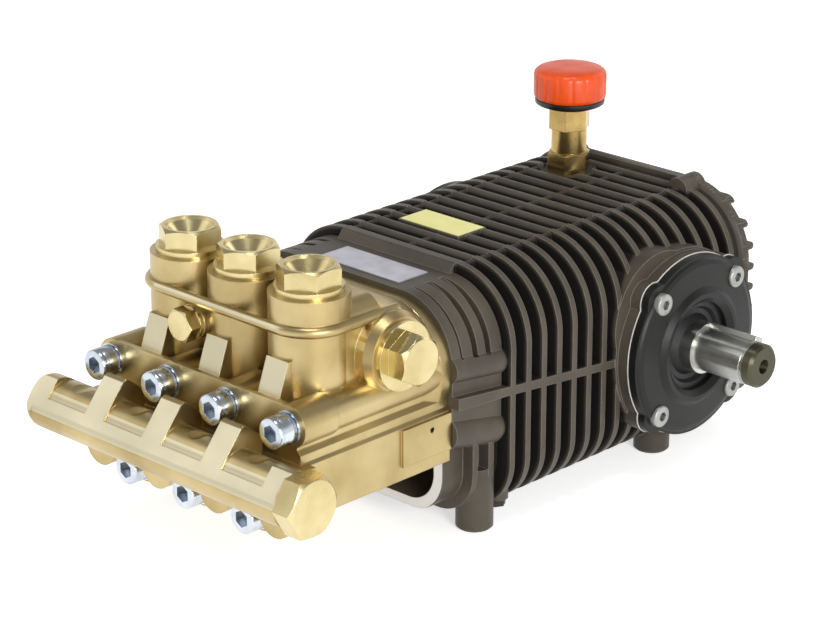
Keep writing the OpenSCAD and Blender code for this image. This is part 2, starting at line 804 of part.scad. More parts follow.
module pump_head() {
    back = column_y + 38;
    color(brass) difference() {
        union() {
            along_y(body_front, case_front) body_outline();
            along_y(case_front - flange_t, case_front) flange_outline(flange_r);
            shoulder();
            box(-block_half_w, block_half_w, column_y, back, body_top - 10, block_top - 14);
            box(14 - block_half_w, block_half_w - 14, column_y, back, body_top, block_top);
            for (s = [-1, 1]) {
                cyl_y(14, column_y, back, s * (block_half_w - 14), block_top - 14);
                // Raised pad behind the outlet
                on_side(s) box(body_half_w - 5, body_half_w + 2, case_front - 44, case_front - 0.5,
                    body_bottom + 9, body_bottom + 34);
            }
            for (i = [-1 : 1]) {
                translate([i * pitch, column_y, body_top - 10]) {
                    cylinder(r = column_r, h = column_top - body_top + 10);
                }
                translate([i * pitch, 0, 0]) gusset();
                translate([i * pitch, 0, 0]) web();
                cyl_y(room_r - 1, body_front, boss_back, i * pitch, bolt_low_z);
            }
            for (x = top_bolts) {
                cyl_y(boss_r, body_front, boss_back, x, bolt_up_z);
                cyl_y(14, tube_y + 16, body_front + 19, x, body_bottom + 4);
            }
            // Ridge along the top of the bolt seats
            along_x(-1.5 * pitch, 1.5 * pitch) translate([body_front, bolt_up_z]) {
                polygon([[0, 0], [0, boss_r - 0.5], [3, boss_r - 0.5], [16, body_top - bolt_up_z],
                    [16, 0]]);
            }
            // Round ridges over the outer bolts
            for (s = [-1, 1]) {
                cyl_y(12, body_front + 1, case_front - 1, s * 1.5 * pitch, bolt_up_z);
            }
            bead();
            along_x(-tube_half_l + tube_edge, tube_half_l) tube_section();
            // Round left end of the tube
            translate([-tube_half_l, tube_y, tube_z]) rotate([0, 90, 0]) rotate_extrude() {
                polygon([[0, 0], for (a = [0 : 15 : 90])
                    [tube_r - tube_edge * (1 - sin(a)), tube_edge * (1 - cos(a))],
                    [tube_r, tube_edge + e], [0, tube_edge + e]]);
            }
            box(-body_half_w - 6, body_half_w + 6, tube_y, body_front + 5, tube_z - 16, tube_z + 5);
            box(-1.5 * pitch, 1.5 * pitch, tube_y + 16, body_front + 5, body_bottom + 4, tube_z - 6);
            for (s = [-1, 1]) on_side(s) {
                cyl_x(outlet_boss_r, 60, boss_out - 2, outlet_y, outlet_z);
                translate([boss_out - 2 - e, outlet_y, outlet_z]) rotate([0, 90, 0]) {
                    cylinder(r1 = outlet_boss_r, r2 = outlet_boss_r - 3, h = 6);
                }
            }
            cyl_y(11.5, body_front + 20, column_y + 10.4, -pitch / 2, gauge_z);
        }
        // Room for the lower bolt heads
        for (i = [-1 : 1]) cyl_y(room_r, room_front, body_front, i * pitch, bolt_low_z);
        // Room for the upper bolt heads
        for (x = top_bolts) cyl_y(room_r, room_front, body_front, x, bolt_up_z);
        // The flat strip runs out over the round end of the tube
        along_x(-tube_half_l - 1, -tube_half_l + tube_edge + 1) translate([tube_y, tube_z]) rotate(web_a) {
            translate([-30, strip_v]) square([60, 30]);
        }
        // Pockets of the comb along the tube
        for (i = [-1 : 0]) pocket(i * pitch + web_w / 2, (i + 1) * pitch - web_w / 2);
        for (s = [-1, 1]) on_side(s) pocket(pitch + web_w / 2, pitch + web_w / 2 + 36);
        // Inlet and outlet bores
        cyl_x(inlet_r, -tube_half_l - 1, -tube_half_l + inlet_l, tube_y, tube_z);
        cyl_x(outlet_r, -boss_out - 5, -60, outlet_y, outlet_z);
        cyl_x(plug_neck_r + fit, 70, boss_out + 5, outlet_y, outlet_z);
        cyl_x(tube_neck_r + fit, tube_half_l - 16, tube_half_l + 1, tube_y, tube_z);
        for (i = [-1 : 1]) translate([i * pitch, column_y, column_top - 12]) {
            cylinder(r = cap_neck_r + fit, h = 13);
        }
        cyl_y(7 + fit, body_front + 19, body_front + 39, -pitch / 2, gauge_z);
        // Small hole in each side pad
        for (s = [-1, 1]) on_side(s) {
            cyl_x(1.8, body_half_w - 8, body_half_w + 3, case_front - 18, body_bottom + 27);
        }
        // Bolt holes
        for (x = top_bolts) cyl_y(bolt_hole_d / 2, body_front - 1, case_front + 1, x, bolt_up_z);
        for (i = [-1 : 1]) {
            cyl_y(bolt_hole_d / 2, body_front - 1, body_front + lower_shank_l + 4, i * pitch, bolt_low_z);
            cyl_y(plunger_r + 3, plunger_front - 5, case_front + 1, i * pitch, plunger_z);
        }
    }
}

// Hexagon valve cap with a round recess
module valve_cap(i) {
    color(brass) translate([i * pitch, column_y, column_top]) difference() {
        union() {
            cylinder(r = cap_collar_r, h = 4);
            translate([0, 0, 4 - e]) rotate([0, 0, 30]) hex_head(cap_hex, cap_h - 4 + e, 2);
            translate([0, 0, -11]) cylinder(r = cap_neck_r, h = 12);
        }
        rotate_extrude() polygon([[0, cap_h - 12], [cap_seat_r, cap_h - 12], [cap_seat_r, cap_h - 9],
            [cap_bore_r, cap_h - 2], [cap_bore_r + 1, cap_h + e], [0, cap_h + e]]);
    }
}

module valve_cap_left() {
    valve_cap(-1);
}

module valve_cap_middle() {
    valve_cap(0);
}

module valve_cap_right() {
    valve_cap(1);
}

// Socket head bolt along Y, head towards the front
module bolt(x, z, shank) {
    y0 = body_front - washer_t;
    difference() {
        union() {
            cyl_y(bolt_head_d / 2, y0 - bolt_head_h + 1, y0, x, z);
            translate([x, y0 - bolt_head_h + 1 + e, z]) rotate([90, 0, 0]) {
                cylinder(r1 = bolt_head_d / 2, r2 = bolt_head_d / 2 - 1, h = 1 + e);
            }
            cyl_y(bolt_d / 2, y0 - e, y0 + shank, x, z);
        }
        translate([x, y0 - bolt_head_h + 8, z]) rotate([90, 0, 0]) {
            cylinder(d = bolt_hex / cos(30), h = 9, $fn = 6);
        }
    }
}

module upper_bolts() {
    color(zinc) for (x = top_bolts) bolt(x, bolt_up_z, upper_shank_l);
}

module lower_bolts() {
    color(zinc) for (i = [-1 : 1]) bolt(i * pitch, bolt_low_z, lower_shank_l);
}

module bolt_washer(x, z) {
    difference() {
        cyl_y(washer_d / 2, body_front - washer_t, body_front, x, z);
        cyl_y(bolt_d / 2 + 0.25, body_front - washer_t - 1, body_front + 1, x, z);
    }
}

module bolt_washers() {
    color(zinc) {
        for (x = top_bolts) bolt_washer(x, bolt_up_z);
        for (i = [-1 : 1]) bolt_washer(i * pitch, bolt_low_z);
    }
}

module manifold_plug_washer() {
    color([0.78, 0.55, 0.42]) difference() {
        cyl_x(tube_r - 0.5, tube_half_l, tube_half_l + 2, tube_y, tube_z);
        cyl_x(tube_neck_r + fit, tube_half_l - 1, tube_half_l + 3, tube_y, tube_z);
    }
}

module manifold_plug() {
    color(brass) translate([tube_half_l + 2, tube_y, tube_z]) rotate([0, 90, 0]) {
        rotate([0, 0, 30]) hex_head(plug_hex, 15, 2.5);
        translate([0, 0, -16]) cylinder(r = tube_neck_r, h = 17);
    }
}

module outlet_plug() {
    color(brass) translate([boss_out + 4, outlet_y, outlet_z]) rotate([0, 90, 0]) {
        cylinder(r = outlet_hex / 2 + 7.5, h = 4.5);
        translate([0, 0, 4.5 - e]) hex_head(outlet_hex, 14, 3);
        translate([0, 0, -14]) cylinder(r = plug_neck_r, h = 15);
    }
}

module gauge_plug() {
    y0 = body_front + 20;
    color(brass) {
        cyl_y(11, y0 - 3, y0, -pitch / 2, gauge_z);
        translate([-pitch / 2, y0 - 3 + e, gauge_z]) rotate([90, 0, 0]) hex_head(gauge_hex, 9, 1);
        cyl_y(7, y0 - e, y0 + 14, -pitch / 2, gauge_z);
    }
}

module plungers() {
    color([0.85, 0.84, 0.80]) for (i = [-1 : 1]) {
        cyl_y(plunger_r, plunger_front, drip_y + plunger_in, i * pitch, plunger_z);
    }
}

module seal_retainers() {
    color(brass) for (i = [-1 : 1]) difference() {
        cyl_y(crosshead_r, case_front, case_front + 8, i * pitch, plunger_z);
        cyl_y(plunger_r + fit, case_front - 1, case_front + 9, i * pitch, plunger_z);
    }
}

module oil_seals() {
    color([0.05, 0.05, 0.05]) for (i = [-1 : 1]) difference() {
        cyl_y(crosshead_r - fit, drip_y - 4, drip_y + 8, i * pitch, plunger_z);
        cyl_y(plunger_r + fit, drip_y - 5, drip_y + 9, i * pitch, plunger_z);
    }
}

module filler_neck() {
    h = filler_neck_h;
    color(brass) translate([filler_x, filler_y, seat_z]) {
        hex_head(neck_hex, neck_hex_h, 1);
        translate([0, 0, -12]) cylinder(r = neck_thread_r, h = 13);
        translate([0, 0, neck_hex_h - e]) cylinder(r = neck_r, h = h - 2 * neck_hex_h);
        translate([0, 0, h - neck_hex_h - e]) hex_head(neck_hex - 1, neck_hex_h + 2, 1);
    }
}

module filler_rim() {
    color([0.05, 0.05, 0.05]) translate([filler_x, filler_y, seat_z + filler_neck_h + 2]) {
        cylinder(r = filler_cap_d / 2 - 1, h = 6);
    }
}

module filler_cap() {
    h = filler_cap_h;
    color([0.9, 0.25, 0.15]) translate([filler_x, filler_y, seat_z + filler_neck_h + 8]) {
        cylinder(d = filler_cap_d, h = h - 3);
        translate([0, 0, h - 3 - e]) {
            cylinder(r1 = filler_cap_d / 2, r2 = filler_cap_d / 2 - 3, h = 3);
        }
    }
}

module name_plate() {
    color([0.85, 0.85, 0.87]) {
        box(40 - plate_l, 40, case_front + 7, case_front + 7 + plate_w, band_top, band_top + 0.8);
    }
}

module type_label() {
    color([0.95, 0.9, 0.3]) box(label_x, label_x + label_l, -38, -38 + label_w, case_top + 0.4,
        case_top + 0.8);
}

module drain_plug() {
    color(steel) translate([feet_x / 2, drain_y, 0]) {
        translate([0, 0, drain_z - 5]) cylinder(d = 13, h = 5, $fn = 6);
        translate([0, 0, drain_z - e]) cylinder(r = drain_bolt_r, h = drain_bolt_l);
    }
}

crankcase();
rear_cover();
rear_cover_screws();
bearing_gasket();
bearing_cover();
bearing_cover_screws();
shaft_seal();
end_gasket();
end_cover();
end_cover_screws();
shaft_bearings();
crankshaft();
shaft_key();
pump_head();
valve_cap_left();
valve_cap_middle();
valve_cap_right();
upper_bolts();
lower_bolts();
bolt_washers();
manifold_plug();
manifold_plug_washer();
outlet_plug();
gauge_plug();
plungers();
seal_retainers();
oil_seals();
filler_neck();
filler_rim();
filler_cap();
name_plate();
type_label();
drain_plug();
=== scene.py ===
import json
import math

import bpy
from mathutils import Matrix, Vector

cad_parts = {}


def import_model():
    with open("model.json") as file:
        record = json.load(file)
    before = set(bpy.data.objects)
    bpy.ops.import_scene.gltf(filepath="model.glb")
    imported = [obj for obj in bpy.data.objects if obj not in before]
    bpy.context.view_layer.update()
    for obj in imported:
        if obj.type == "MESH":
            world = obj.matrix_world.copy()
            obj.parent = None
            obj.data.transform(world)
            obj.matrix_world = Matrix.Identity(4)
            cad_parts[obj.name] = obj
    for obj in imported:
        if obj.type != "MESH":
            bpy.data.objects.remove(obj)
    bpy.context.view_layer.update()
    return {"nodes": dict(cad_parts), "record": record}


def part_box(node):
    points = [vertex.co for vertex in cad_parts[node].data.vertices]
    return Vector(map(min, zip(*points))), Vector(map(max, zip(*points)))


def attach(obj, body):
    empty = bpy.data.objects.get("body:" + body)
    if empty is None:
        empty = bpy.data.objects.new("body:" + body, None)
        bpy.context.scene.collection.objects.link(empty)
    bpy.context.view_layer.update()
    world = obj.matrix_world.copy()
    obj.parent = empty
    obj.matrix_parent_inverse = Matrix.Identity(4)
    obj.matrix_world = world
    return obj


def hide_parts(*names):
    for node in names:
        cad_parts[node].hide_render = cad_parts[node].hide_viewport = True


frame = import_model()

MM = 0.001

# From the frame, in metres: y of the case's front and rear faces, and x of the shaft's tip
front_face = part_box("crankcase")[0][1]
case_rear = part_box("rear_cover")[0][1]
shaft_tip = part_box("crankshaft")[1][0]

# The case's outline in millimetres, upper half and lower half: x and z of the centre that its corner arcs
# turn about, their radius, and 1 for up or -1 for down
CASE_ARCS = ((51, 122, 49, 1), (64, 44, 36, -1))
# The gaps between the fins, in millimetres: how far in from the outline their painted shade starts and is
# full, and the y at which the smooth front band ends and the fins begin
GAP_MOUTH = 0.4
GAP_DEEP = 3
BAND_END = -78.5
# The bare rim of the drip opening, in millimetres: x and z of its lower corners' centre, its outer radius
# there, its top, and how far behind the front face it reaches
RIM_CORNER = (56, 46)
RIM_RADIUS = 29.5
RIM_TOP = 62
RIM_DEEP = 0.2
# Normals of the milled faces of the webs and ribs, which are drawn paler, as bare metal and as a painted
# highlight, and the cosines of the angle to one between which a face starts to turn paler and does so in
# full
WEB_FACE = (0, -0.7727, 0.6347)
RIB_FACE = (0, -0.9255, 0.3786)
MILLED_LIT_FROM, MILLED_LIT_TO = 0.990, 0.996
# The darker, duller land at the shaft's end, in front of the relief groove: where it fades in, in
# millimetres back from the tip
LAND_FADE = (8.4, 7.6)

# Steps round a turned piece and round the larger pieces of the oil filler, and the flutes in its cap
TURNED_STEPS = 72
FILLER_STEPS = 96
CAP_FLUTES = 16
# The bolts of the valve head, in millimetres: the height of a bolt's head, its shank's radius, how far below
# the top its groove begins and how deep that is, and its socket's width across flats and depth
BOLT_HEAD = 14
BOLT_SHANK = 6
GROOVE_TOP = 3.0
GROOVE_DEEP = 0.3
BOLT_SOCKET = (10, 7)
# The cover screws' radius, and their socket's width across flats and depth, in millimetres
SCREW_RADIUS = 7.5
SCREW_SOCKET = (6, 3.2)
# How far the cover screws' heads lie below the tops of their solids, in millimetres
SCREW_DROP = 2.4
# The slit in the rear cover, in millimetres: its half length, and the heights round it
SLIT_REACH = 26.3
SLIT = (41.9, 44.1)

# The camera as it was fitted to the photograph: the angle round from the head and down in degrees, the
# distance and the point it looks at in metres, and the focal length and picture width in pixels
VIEW_ROUND, VIEW_DOWN = 43.987, 20.555
VIEW_DISTANCE = 1.9236
VIEW_TARGET = (0, -0.066, 0.119)
FOCAL_PIXELS, WIDTH_PIXELS = 2900, 820
SENSOR = 36

# The stage: the floor's size in metres and its glow, the heights between which the white walls turn into
# the grey ceiling, the ceiling's brightness, and the share of the studio's light that falls on matt faces
FLOOR_SIZE = 3
FLOOR_GLOW = 0.6
WALL_TOP, CEILING_EDGE = 0.28, 0.62
CEILING = 0.30
WALL_LIGHT = 0.75


# Colour and shader nodes

def linear(code):
    """Turns an sRGB hex code into the linear colour that a shader reads."""
    parts = [int(code[i:i + 2], 16) / 255 for i in (1, 3, 5)]
    return tuple(c / 12.92 if c <= 0.04045 else ((c + 0.055) / 1.055) ** 2.4 for c in parts) + (1.0,)


def add(tree, kind, settings=None, inputs=None):
    """Adds one node, with its settings, and with a value or a link on each named socket."""
    node = tree.nodes.new(kind)
    for name, value in (settings or {}).items():
        setattr(node, name, value)
    for name, value in (inputs or {}).items():
        if isinstance(value, bpy.types.NodeSocket):
            tree.links.new(value, node.inputs[name])
        else:
            node.inputs[name].default_value = value
    return node


def finish(name, colours, metallic, roughness, cloud_mm=12, grain_mm=1.0, grain_deep_mm=0.01, edge_mm=0.4):
    """A finish with clouds of two near tones, a gloss that follows them, a fine grain and eased edges.

    The real grit and grain are too fine to show, so they are drawn about a millimetre coarse.
    Returns the material, its tree, the object coordinates, the colour socket and the shader.
    """
    material = bpy.data.materials.new(name)
    material.use_nodes = True
    tree = material.node_tree
    tree.nodes.clear()
    place = add(tree, "ShaderNodeTexCoord").outputs["Object"]
    cloud = add(tree, "ShaderNodeTexNoise", inputs={
        "Vector": place, "Scale": 1 / (cloud_mm * MM), "Detail": 3})
    share = add(tree, "ShaderNodeMapRange", inputs={
        "Value": cloud.outputs["Fac"], "From Min": 0.35, "From Max": 0.65})
    tone = add(tree, "ShaderNodeMix", {"data_type": "RGBA"}, {
        "Factor": share.outputs["Result"], "A": linear(colours[0]), "B": linear(colours[1])})
    gloss = add(tree, "ShaderNodeMapRange", inputs={
        "Value": share.outputs["Result"], "To Min": roughness[0], "To Max": roughness[1]})
    grain = add(tree, "ShaderNodeTexNoise", inputs={
        "Vector": place, "Scale": 1 / (grain_mm * MM), "Detail": 3})
    edge = add(tree, "ShaderNodeBevel", {"samples": 4}, {"Radius": edge_mm * MM})
    bump = add(tree, "ShaderNodeBump", inputs={
        "Height": grain.outputs["Fac"], "Strength": 0.5, "Distance": grain_deep_mm * MM,
        "Normal": edge.outputs["Normal"]})
    shader = add(tree, "ShaderNodeBsdfPrincipled", inputs={
        "Base Color": tone.outputs["Result"], "Metallic": metallic,
        "Roughness": gloss.outputs["Result"], "Normal": bump.outputs["Normal"]})
    add(tree, "ShaderNodeOutputMaterial", inputs={"Surface": shader.outputs["BSDF"]})
    return material, tree, place, tone.outputs["Result"], shader


def overlay(tree, shader, share, below, code):
    """Lays a colour over the shader's colour where share is 1, and returns the new colour socket."""
    tone = add(tree, "ShaderNodeMix", {"data_type": "RGBA"}, {
        "Factor": share, "A": below, "B": linear(code)})
    tree.links.new(tone.outputs["Result"], shader.inputs["Base Color"])
    return tone.outputs["Result"]


def reach(tree, place, corner_x, corner_z, up):
    """How far a point lies outside the core of a rounded outline, whose corner arcs turn about the centre.

    up is 1 for an outline that is rounded upwards, and -1 for one that is rounded downwards.
    """
    flat = add(tree, "ShaderNodeVectorMath", {"operation": "MULTIPLY"}, {0: place, 1: (1, 0, 1)})
    half = add(tree, "ShaderNodeVectorMath", {"operation": "ABSOLUTE"}, {0: flat.outputs[0]})
    raised = add(tree, "ShaderNodeVectorMath", {"operation": "MULTIPLY"}, {
        0: half.outputs[0], 1: (1, 0, up)})
    past = add(tree, "ShaderNodeVectorMath", {"operation": "SUBTRACT"}, {
        0: raised.outputs[0], 1: (corner_x * MM, 0, up * corner_z * MM)})
    outside = add(tree, "ShaderNodeVectorMath", {"operation": "MAXIMUM"}, {0: past.outputs[0]})
    far = add(tree, "ShaderNodeVectorMath", {"operation": "LENGTH"}, {0: outside.outputs[0]})
    return far.outputs["Value"]


def cast_brass():
    # Forged brass, shot-blasted and left bare: pale gold with a satin bloom, faint brown clouds and a fine
    # grain. The milled slanted faces of the webs and ribs are paler, as bare metal and as a painted
    # highlight.
    material, tree, _, tone, shader = finish(
        "blasted_brass", ("#C5B283", "#AC9869"), 1.0, (0.30, 0.40),
        cloud_mm=45, grain_mm=1.1, grain_deep_mm=0.02, edge_mm=0.9)
    facing = add(tree, "ShaderNodeNewGeometry").outputs["True Normal"]
    for normal in WEB_FACE, RIB_FACE:
        along = add(tree, "ShaderNodeVectorMath", {"operation": "DOT_PRODUCT"}, {0: facing, 1: normal})
        milled_and_lit = add(tree, "ShaderNodeMapRange", inputs={
            "Value": along.outputs["Value"], "From Min": MILLED_LIT_FROM, "From Max": MILLED_LIT_TO,
            "To Max": 0.6})
        tone = overlay(tree, shader, milled_and_lit.outputs["Result"], tone, "#E2DEC6")
    return material


def turned_brass():
    # Brass bar turned and milled bright: sharper highlights than the casting.
    return finish("turned_brass", ("#DDCE9E", "#C8B784"), 1.0, (0.20, 0.30),
                  cloud_mm=30, grain_mm=2.0, grain_deep_mm=0.004, edge_mm=0.5)[0]


def zinc_plate(name, colours, metallic, roughness):
    # Zinc plate on steel screws, with painted shade in the sockets and the corners under the heads.
    material, tree, _, tone, shader = finish(name, colours, metallic, roughness)
    open_sky = add(tree, "ShaderNodeAmbientOcclusion", {"samples": 8}, {"Distance": 6 * MM})
    # Painted shade: a dark blue-grey laid in where ambient occlusion finds the surface closed in.
    socket_shade = add(tree, "ShaderNodeMapRange", inputs={
        "Value": open_sky.outputs["AO"], "From Min": 0.55, "From Max": 0.25, "To Max": 0.85})
    overlay(tree, shader, socket_shade.outputs["Result"], tone, "#33444C")
    return material


def case_enamel():
    # Die-cast aluminium under thin bronze-black enamel: satin, with a slight orange peel, and paler along
    # its edges, as wear and as a painted highlight. The gaps between the fins carry painted shade, near
    # black, and are duller, and the machined rim round the drip opening is bare.
    material, tree, place, tone, shader = finish(
        "bronze_black_enamel", ("#48423A", "#554E43"), 0.0, (0.38, 0.48),
        cloud_mm=35, grain_mm=1.4, grain_deep_mm=0.03, edge_mm=1.0)
    shader.inputs["Specular IOR Level"].default_value = 0.25
    # Paler along the edges, partly wear and partly a painted highlight.
    eased = add(tree, "ShaderNodeBevel", {"samples": 4}, {"Radius": 0.9 * MM}).outputs["Normal"]
    flat = add(tree, "ShaderNodeNewGeometry").outputs["Normal"]
    turn = add(tree, "ShaderNodeVectorMath", {"operation": "DOT_PRODUCT"}, {0: eased, 1: flat})
    worn_and_lit_edge = add(tree, "ShaderNodeMapRange", inputs={
        "Value": turn.outputs["Value"], "From Min": 0.97, "From Max": 0.80, "To Max": 0.6})
    tone = overlay(tree, shader, worn_and_lit_edge.outputs["Result"], tone, "#AAA598")
    gaps = fin_gaps(tree, place)
    # Painted shade: near black laid over the gaps between the fins, in full deep inside them.
    shade = add(tree, "ShaderNodeMath", {"operation": "MULTIPLY"}, {0: gaps, 1: 0.93})
    tone = overlay(tree, shader, shade.outputs[0], tone, "#060504")
    matt = add(tree, "ShaderNodeMapRange", inputs={"Value": gaps, "To Min": 0.42, "To Max": 0.75})
    tree.links.new(matt.outputs["Result"], shader.inputs["Roughness"])
    overlay(tree, shader, drip_rim(tree, place), tone, "#F2F2F2")
    return material


def fin_gaps(tree, place):
    """How deep a point lies in a gap between the fins: 0 at the outline and on the front band, 1 inside."""
    depths = []
    for corner_x, corner_z, radius, up in CASE_ARCS:
        far = reach(tree, place, corner_x, corner_z, up)
        depth = add(tree, "ShaderNodeMapRange", inputs={
            "Value": far, "From Min": (radius - GAP_MOUTH) * MM, "From Max": (radius - GAP_DEEP) * MM})
        depths.append(depth.outputs["Result"])
    deep = add(tree, "ShaderNodeMath", {"operation": "MINIMUM"}, {0: depths[0], 1: depths[1]})
    split = add(tree, "ShaderNodeSeparateXYZ", inputs={"Vector": place})
    middle, half = (case_rear + BAND_END * MM) / 2, (case_rear - BAND_END * MM) / 2
    finned = add(tree, "ShaderNodeMath", {"operation": "COMPARE"}, {
        0: split.outputs["Y"], 1: middle, 2: half})
    gaps = add(tree, "ShaderNodeMath", {"operation": "MULTIPLY"}, {
        0: deep.outputs[0], 1: finned.outputs[0]})
    return gaps.outputs[0]


def drip_rim(tree, place):
    """Share of bare metal: 1 on the flat rim round the drip opening, in the front face, and 0 elsewhere."""
    split = add(tree, "ShaderNodeSeparateXYZ", inputs={"Vector": place})
    rim = add(tree, "ShaderNodeMath", {"operation": "LESS_THAN"}, {
        0: reach(tree, place, *RIM_CORNER, -1), 1: RIM_RADIUS * MM})
    low = add(tree, "ShaderNodeMath", {"operation": "LESS_THAN"}, {0: split.outputs["Z"], 1: RIM_TOP * MM})
    front = add(tree, "ShaderNodeMath", {"operation": "LESS_THAN"}, {
        0: split.outputs["Y"], 1: front_face + RIM_DEEP * MM})
    both = add(tree, "ShaderNodeMath", {"operation": "MULTIPLY"}, {0: rim.outputs[0], 1: low.outputs[0]})
    bare = add(tree, "ShaderNodeMath", {"operation": "MULTIPLY"}, {0: both.outputs[0], 1: front.outputs[0]})
    return bare.outputs[0]


def shaft_steel():
    # Carbon steel ground round its axis: bright, its highlights drawn out along the shaft, and darker and
    # duller over the land in front of the relief groove.
    material, tree, place, tone, shader = finish(
        "ground_steel", ("#CDCDC8", "#BEBEB8"), 1.0, (0.20, 0.26),
        cloud_mm=12, grain_mm=0.8, grain_deep_mm=0.004, edge_mm=0.5)
    shader.inputs["Anisotropic"].default_value = 0.9
    axis = add(tree, "ShaderNodeCombineXYZ", inputs={"X": 1.0})
    tree.links.new(axis.outputs["Vector"], shader.inputs["Tangent"])
    split = add(tree, "ShaderNodeSeparateXYZ", inputs={"Vector": place})
    land = add(tree, "ShaderNodeMapRange", inputs={
        "Value": split.outputs["X"], "From Min": shaft_tip - LAND_FADE[0] * MM,
        "From Max": shaft_tip - LAND_FADE[1] * MM})
    overlay(tree, shader, land.outputs["Result"], tone, "#5C5A4A")
    dull = add(tree, "ShaderNodeMapRange", inputs={
        "Value": land.outputs["Result"], "To Min": 0.23, "To Max": 0.45})
    tree.links.new(dull.outputs["Result"], shader.inputs["Roughness"])
    return material


finishes = {
    "case_paint": case_enamel(),
    "brass": cast_brass(),
    # Bright and blue-white.
    "zinc": zinc_plate("bright_zinc", ("#D2D8E0", "#BFC8D4"), 1.0, (0.18, 0.26)),
    "steel": shaft_steel(),
    # Pressed fibre gasket, pale edge.
    "gasket": finish("gasket_fibre", ("#DEDCD4", "#CFCCC2"), 0.0, (0.75, 0.85))[0],
    # Black nitrile rubber, oily.
    "rubber": finish("nitrile_rubber", ("#060607", "#0A0A0B"), 0.0, (0.45, 0.6))[0],
    # Annealed copper washer, tinned pale.
    "copper": finish("copper_washer", ("#E2C4B0", "#D4B29C"), 1.0, (0.27, 0.33))[0],
    # Polished alumina.
    "ceramic": finish("plunger_ceramic", ("#E6E3D9", "#DEDACE"), 0.0, (0.10, 0.15))[0],
    # Injection-moulded nylon, orange-red.
    "red_plastic": finish("orange_red_nylon", ("#EC5210", "#E24C0E"), 0.0, (0.30, 0.38), grain_mm=2.0)[0],
    # Injection-moulded nylon, black and satin.
    "black_plastic": finish("black_nylon", ("#0F1012", "#151618"), 0.0, (0.32, 0.40))[0],
    # Aluminium foil plate, satin.
    "plate": finish("foil_plate", ("#CCCCD4", "#BFBFC8"), 0.6, (0.32, 0.38))[0],
    # Yellow polyester film.
    "yellow_label": finish("yellow_film", ("#F8F2A0", "#F2EC94"), 0.0, (0.36, 0.44))[0],
}
# The same enamel as the case but thicker and blacker, on the bearing covers.
cover_finish, _, _, _, cover_shader = finish(
    "black_enamel", ("#10110F", "#181916"), 0.0, (0.34, 0.44),
    cloud_mm=30, grain_mm=1.4, grain_deep_mm=0.02, edge_mm=0.8)
cover_shader.inputs["Specular IOR Level"].default_value = 0.3
# Dull zinc on the cover screws, and black oxide on the drain plug.
screw_finish = zinc_plate("matt_zinc", ("#B0B0AC", "#A0A09C"), 0.7, (0.40, 0.50))
plug_finish = finish("black_oxide", ("#2A2824", "#34312C"), 0.6, (0.40, 0.50))[0]
turned_finish = turned_brass()
# Turned brass in a darker, browner tone, on the oil filler's neck.
neck_finish = finish("dark_brown_brass", ("#C4A86C", "#AA8F58"), 1.0, (0.18, 0.28),
                     cloud_mm=20, grain_mm=2.0, grain_deep_mm=0.004, edge_mm=0.5)[0]
TURNED_NODES = ("valve_cap_left", "valve_cap_middle", "valve_cap_right", "manifold_plug", "outlet_plug",
                "gauge_plug", "seal_retainers")
NODE_FINISHES = dict.fromkeys(TURNED_NODES, turned_finish) | {
    "filler_neck": neck_finish, "bearing_cover": cover_finish, "end_cover": cover_finish,
    "drain_plug": plug_finish, "rear_cover_screws": screw_finish,
}

slots = {part["node"]: part["material_slot"] for part in frame["record"]["subparts"]}
for name, obj in frame["nodes"].items():
    for slot in obj.material_slots:
        slot.material = NODE_FINISHES.get(name, finishes[slots[name]])


# Pieces made one by one

def turned(name, profile, steps=TURNED_STEPS):
    """Turns a profile of (radius, height) points in millimetres about the Z axis, as on a lathe."""
    bpy.ops.object.select_all(action="DESELECT")
    first = profile[0]
    bpy.ops.mesh.primitive_plane_add(size=0.001, location=(first[0] * MM, 0, first[1] * MM))
    piece = bpy.context.object
    piece.name = name
    bpy.ops.object.mode_set(mode="EDIT")
    bpy.ops.mesh.select_all(action="SELECT")
    bpy.ops.mesh.merge(type="CENTER")
    for a, b in zip(profile, profile[1:]):
        step = ((b[0] - a[0]) * MM, 0, (b[1] - a[1]) * MM)
        bpy.ops.mesh.extrude_vertices_move(TRANSFORM_OT_translate={"value": step})
    bpy.ops.mesh.select_all(action="SELECT")
    bpy.ops.mesh.spin(steps=steps, angle=2 * math.pi, center=(0, 0, 0), axis=(0, 0, 1))
    bpy.ops.mesh.select_all(action="SELECT")
    bpy.ops.mesh.remove_doubles(threshold=1e-6)
    bpy.ops.mesh.normals_make_consistent(inside=False)
    bpy.ops.object.mode_set(mode="OBJECT")
    return piece


def only(piece):
    """Selects one piece and makes it the active one."""
    bpy.ops.object.select_all(action="DESELECT")
    piece.select_set(True)
    bpy.context.view_layer.objects.active = piece


def cut(piece, cutter):
    """Takes the cutter's shape out of a piece."""
    only(piece)
    bite = piece.modifiers.new("cut", "BOOLEAN")
    bite.object = cutter
    bite.operation = "DIFFERENCE"
    bite.solver = "EXACT"
    bpy.ops.object.modifier_apply(modifier=bite.name)
    bpy.data.objects.remove(cutter)


def hexagon(across, deep):
    """A cutter for a hexagon socket in a top at height 0: its width across flats and its depth."""
    over = 1
    bpy.ops.object.select_all(action="DESELECT")
    bpy.ops.mesh.primitive_cylinder_add(
        vertices=6, radius=across / math.sqrt(3) * MM, depth=(over + deep) * MM,
        location=(0, 0, (over - deep) / 2 * MM))
    return bpy.context.object


